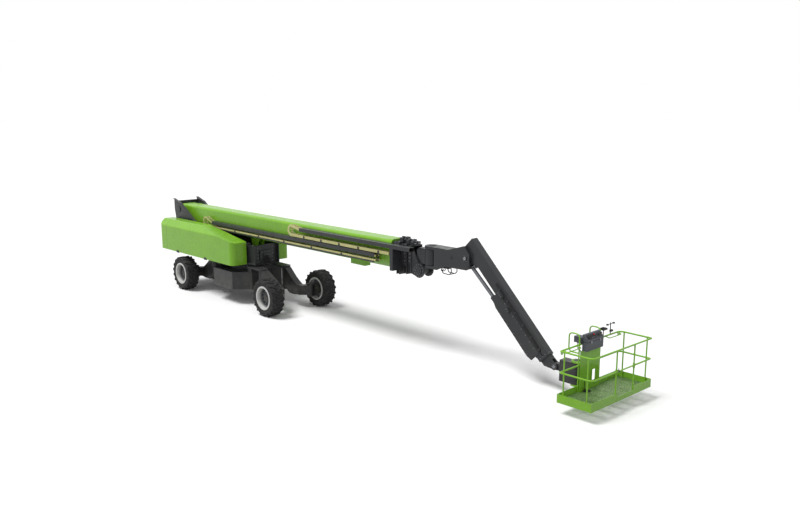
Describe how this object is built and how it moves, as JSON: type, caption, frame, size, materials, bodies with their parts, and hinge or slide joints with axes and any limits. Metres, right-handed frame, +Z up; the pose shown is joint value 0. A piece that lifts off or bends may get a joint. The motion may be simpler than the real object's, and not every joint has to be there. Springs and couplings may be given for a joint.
{
  "type": "telescopic boom lift",
  "caption": "Self-propelled telescopic boom lift: swinging steered legs, slewing turret, nested telescopic boom, luffing jib and a railed work platform.",
  "frame": {"origin": "on the ground under the middle of the machine's length and width, with the boom lowered and the jib as stored", "axes": "+X forward along the boom towards the platform, +Y to the machine's left, +Z up"},
  "size_m": [19.6821, 2.57, 3.3968],
  "materials": {
    "green_paint": "gloss",
    "grey_paint": "satin",
    "dark_paint": "satin",
    "rim_paint": "satin",
    "tyre_rubber": "matte",
    "green_moulding": "gloss",
    "chain_plastic": "satin",
    "console_plastic": "matte",
    "floor_metal": "satin",
    "cast_weight": "matte",
    "engine_metal": "matte",
    "tank_plastic": "matte",
    "chrome_rod": "gloss"
  },
  "bodies": {
    "chassis": {"chassis_frame": "grey_paint", "slew_ring": "dark_paint"},
    "leg_body_front_left": {"leg_front_left": "grey_paint"},
    "leg_body_front_right": {"leg_front_right": "grey_paint"},
    "leg_body_rear_left": {"leg_rear_left": "grey_paint"},
    "leg_body_rear_right": {"leg_rear_right": "grey_paint"},
    "knuckle_body_front_left": {"knuckle_front_left": "grey_paint"},
    "knuckle_body_front_right": {"knuckle_front_right": "grey_paint"},
    "knuckle_body_rear_left": {"knuckle_rear_left": "grey_paint"},
    "knuckle_body_rear_right": {"knuckle_rear_right": "grey_paint"},
    "wheel_front_left": {"rim_front_left": "rim_paint", "tyre_front_left": "tyre_rubber"},
    "wheel_front_right": {"rim_front_right": "rim_paint", "tyre_front_right": "tyre_rubber"},
    "wheel_rear_left": {"rim_rear_left": "rim_paint", "tyre_rear_left": "tyre_rubber"},
    "wheel_rear_right": {"rim_rear_right": "rim_paint", "tyre_rear_right": "tyre_rubber"},
    "turret": {"turret_frame": "dark_paint", "turret_pedestal": "dark_paint", "counterweight": "cast_weight", "engine_block": "engine_metal", "fluid_tank": "tank_plastic"},
    "left_hood": {"hood_left": "green_moulding"},
    "right_hood": {"hood_right": "green_moulding"},
    "lift_cylinder": {"lift_barrel": "dark_paint"},
    "lift_piston": {"lift_rod": "chrome_rod"},
    "boom": {"boom_base": "green_paint", "carrier_lower": "dark_paint", "chain_lower": "chain_plastic", "chain_hooks": "dark_paint"},
    "boom_stage_1": {"boom_mid_1": "dark_paint", "carrier_upper": "dark_paint", "chain_upper": "chain_plastic"},
    "boom_stage_2": {"boom_mid_2": "dark_paint"},
    "boom_stage_3": {"boom_fly": "dark_paint"},
    "head": {"head_bracket": "dark_paint"},
    "jib_mount": {"jib_base": "dark_paint"},
    "jib": {"jib_outer": "dark_paint"},
    "jib_extension": {"jib_inner": "dark_paint"},
    "jib_cylinder": {"jib_barrel": "dark_paint"},
    "jib_piston": {"jib_rod": "chrome_rod"},
    "support": {"platform_support": "dark_paint"},
    "platform": {"platform_frame": "green_paint", "platform_floor": "floor_metal", "platform_rails": "green_paint", "console_panel": "green_paint", "console_box": "console_plastic", "wind_sensor": "tank_plastic", "platform_lamp": "tank_plastic"},
    "gate": {"gate_bar": "green_paint"}
  },
  "joints": [
    {"name": "leg_swing_front_left", "type": "hinge", "parent": "chassis", "child": "leg_body_front_left", "pos_m": [-3.82, 0.48, 0.62], "axis": [0, 0, 1], "range_deg": [0, 50]},
    {"name": "steer_front_left", "type": "hinge", "parent": "leg_body_front_left", "child": "knuckle_body_front_left", "pos_m": [-2.62, 0.62, 0.62], "axis": [0, 0, 1], "range_deg": [-75, 25]},
    {"name": "wheel_spin_front_left", "type": "hinge", "parent": "knuckle_body_front_left", "child": "wheel_front_left", "pos_m": [-2.62, 1.06, 0.62], "axis": [0, 1, 0], "continuous": true},
    {"name": "leg_swing_front_right", "type": "hinge", "parent": "chassis", "child": "leg_body_front_right", "pos_m": [-3.82, -0.48, 0.62], "axis": [0, 0, -1], "range_deg": [0, 50]},
    {"name": "steer_front_right", "type": "hinge", "parent": "leg_body_front_right", "child": "knuckle_body_front_right", "pos_m": [-2.62, -0.62, 0.62], "axis": [0, 0, -1], "range_deg": [-75, 25]},
    {"name": "wheel_spin_front_right", "type": "hinge", "parent": "knuckle_body_front_right", "child": "wheel_front_right", "pos_m": [-2.62, -1.06, 0.62], "axis": [0, 1, 0], "continuous": true},
    {"name": "leg_swing_rear_left", "type": "hinge", "parent": "chassis", "child": "leg_body_rear_left", "pos_m": [-6.92, 0.48, 0.62], "axis": [0, 0, -1], "range_deg": [0, 50]},
    {"name": "steer_rear_left", "type": "hinge", "parent": "leg_body_rear_left", "child": "knuckle_body_rear_left", "pos_m": [-8.12, 0.62, 0.62], "axis": [0, 0, -1], "range_deg": [-75, 25]},
    {"name": "wheel_spin_rear_left", "type": "hinge", "parent": "knuckle_body_rear_left", "child": "wheel_rear_left", "pos_m": [-8.12, 1.06, 0.62], "axis": [0, 1, 0], "continuous": true},
    {"name": "leg_swing_rear_right", "type": "hinge", "parent": "chassis", "child": "leg_body_rear_right", "pos_m": [-6.92, -0.48, 0.62], "axis": [0, 0, 1], "range_deg": [0, 50]},
    {"name": "steer_rear_right", "type": "hinge", "parent": "leg_body_rear_right", "child": "knuckle_body_rear_right", "pos_m": [-8.12, -0.62, 0.62], "axis": [0, 0, 1], "range_deg": [-75, 25]},
    {"name": "wheel_spin_rear_right", "type": "hinge", "parent": "knuckle_body_rear_right", "child": "wheel_rear_right", "pos_m": [-8.12, -1.06, 0.62], "axis": [0, 1, 0], "continuous": true},
    {"name": "turret_slew", "type": "hinge", "parent": "chassis", "child": "turret", "pos_m": [-5.37, 0, 1.255], "axis": [0, 0, 1], "continuous": true},
    {"name": "boom_lift", "type": "hinge", "parent": "turret", "child": "boom", "pos_m": [-9.47, 0, 2.85], "axis": [0, -1, 0], "range_deg": [0, 75]},
    {"name": "lift_cylinder_swing", "type": "hinge", "parent": "turret", "child": "lift_cylinder", "pos_m": [-8.57, 0, 1.62], "axis": [0, -1, 0], "range_deg": [0, 73.4]},
    {"name": "lift_piston_slide", "type": "slide", "parent": "lift_cylinder", "child": "lift_piston", "axis": [0.998, 0, 0.063], "range_m": [0, 1.852]},
    {"name": "boom_extend_1", "type": "slide", "parent": "boom", "child": "boom_stage_1", "axis": [1, 0, 0], "range_m": [0, 9.6]},
    {"name": "boom_extend_2", "type": "slide", "parent": "boom_stage_1", "child": "boom_stage_2", "axis": [1, 0, 0], "range_m": [0, 9.6]},
    {"name": "boom_extend_3", "type": "slide", "parent": "boom_stage_2", "child": "boom_stage_3", "axis": [1, 0, 0], "range_m": [0, 9.6]},
    {"name": "head_level", "type": "hinge", "parent": "boom_stage_3", "child": "head", "pos_m": [3.5, 0, 2.3], "axis": [0, -1, 0], "range_deg": [-75, 0]},
    {"name": "jib_swing", "type": "hinge", "parent": "head", "child": "jib_mount", "pos_m": [3.83, 0, 2.93], "axis": [0, 0, 1], "range_deg": [-62.5, 62.5]},
    {"name": "jib_luff", "type": "hinge", "parent": "jib_mount", "child": "jib", "pos_m": [5.22, 0, 2.87], "axis": [0, -1, 0], "range_deg": [-10, 115]},
    {"name": "jib_cylinder_swing", "type": "hinge", "parent": "jib", "child": "jib_cylinder", "pos_m": [7.32011, 0, 0.79818], "axis": [0, -1, 0], "range_deg": [-0.26, 2.88]},
    {"name": "jib_piston_slide", "type": "slide", "parent": "jib_cylinder", "child": "jib_piston", "axis": [-0.7423, 0, 0.6701], "range_m": [-0.0359, 0.4019]},
    {"name": "jib_extend", "type": "slide", "parent": "jib", "child": "jib_extension", "axis": [0.7071, 0, -0.7071], "range_m": [0, 1.8]},
    {"name": "platform_level", "type": "hinge", "parent": "jib_extension", "child": "support", "pos_m": [8.03004, 0, 0.61999], "axis": [0, -1, 0], "range_deg": [-115, 10]},
    {"name": "platform_turn", "type": "hinge", "parent": "support", "child": "platform", "pos_m": [8.61, 0, 0.85], "axis": [0, 0, 1], "range_deg": [-90, 90]},
    {"name": "gate_lift", "type": "slide", "parent": "platform", "child": "gate", "axis": [0, 0, 1], "range_m": [0, 0.35]},
    {"name": "hood_open_left", "type": "hinge", "parent": "turret", "child": "left_hood", "pos_m": [-8.895, 0.58, 2.49], "axis": [1, 0, 0], "range_deg": [0, 55]},
    {"name": "hood_open_right", "type": "hinge", "parent": "turret", "child": "right_hood", "pos_m": [-8.895, -0.58, 2.49], "axis": [-1, 0, 0], "range_deg": [0, 55]}
  ],
  "couplings": [
    {"joint": "lift_cylinder_swing", "follows": "boom_lift", "ratio": 0.97851},
    {"joint": "lift_piston_slide", "follows": "boom_lift", "m_per_rad": 1.4141},
    {"joint": "head_level", "follows": "boom_lift", "ratio": -1},
    {"joint": "boom_extend_2", "follows": "boom_extend_1", "ratio": 1},
    {"joint": "boom_extend_3", "follows": "boom_extend_1", "ratio": 1},
    {"joint": "jib_cylinder_swing", "follows": "jib_luff", "ratio": 0.025},
    {"joint": "jib_piston_slide", "follows": "jib_luff", "m_per_rad": 0.19974},
    {"joint": "platform_level", "follows": "jib_luff", "ratio": -1}
  ]
}
